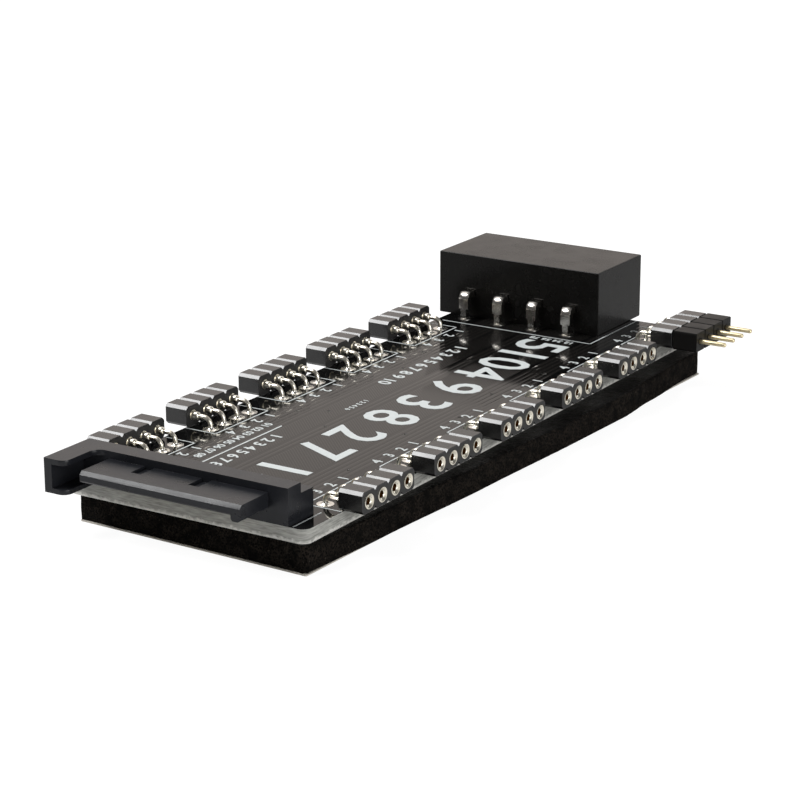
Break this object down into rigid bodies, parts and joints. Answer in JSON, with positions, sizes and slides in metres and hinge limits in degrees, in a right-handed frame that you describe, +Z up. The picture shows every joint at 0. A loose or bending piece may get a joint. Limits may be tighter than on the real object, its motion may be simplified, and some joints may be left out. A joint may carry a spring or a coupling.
{
  "type": "rgb lighting controller",
  "caption": "Narrow black lighting hub board on a foam pad, with rows of output sockets along both long sides, a slim drive power plug, a power header and a pin adapter.",
  "frame": {"origin": "on the underside of the release liner, below the middle of the circuit board", "axes": "+Z up out of the board, +Y along the board from the slim power plug to the power header, +X to the side with the input adapter"},
  "size_m": [0.0432, 0.0973, 0.0131],
  "materials": {
    "board": "glossy black solder mask with raised copper tracks, milky grey cut edge",
    "foam": "matte open foam",
    "liner": "pale release paper",
    "strip_plastic": "satin moulding",
    "adapter_plastic": "satin moulding",
    "header_plastic": "finely textured moulding",
    "plug_plastic": "satin moulding",
    "contact_metal": "polished pale gold, tails tinned",
    "gilt_metal": "polished gilt",
    "tinned_metal": "bright tin"
  },
  "bodies": {
    "root": {"circuit_board": "board", "foam_pad": "foam", "release_liner": "liner", "output_strip_1": "strip_plastic", "output_strip_2": "strip_plastic", "output_strip_3": "strip_plastic", "output_strip_4": "strip_plastic", "output_strip_5": "strip_plastic", "output_strip_6": "strip_plastic", "output_strip_7": "strip_plastic", "output_strip_8": "strip_plastic", "output_strip_9": "strip_plastic", "output_strip_10": "strip_plastic", "output_contacts_1": "contact_metal", "output_contacts_2": "contact_metal", "output_contacts_3": "contact_metal", "output_contacts_4": "contact_metal", "output_contacts_5": "contact_metal", "output_contacts_6": "contact_metal", "output_contacts_7": "contact_metal", "output_contacts_8": "contact_metal", "output_contacts_9": "contact_metal", "output_contacts_10": "contact_metal", "input_strip": "strip_plastic", "input_contacts": "contact_metal", "adapter_body": "adapter_plastic", "adapter_pins": "gilt_metal", "power_header": "header_plastic", "header_pin_1": "tinned_metal", "header_pin_2": "tinned_metal", "header_pin_3": "tinned_metal", "header_pin_4": "tinned_metal", "slim_plug": "plug_plastic", "plug_contacts": "gilt_metal"}
  },
  "joints": []
}
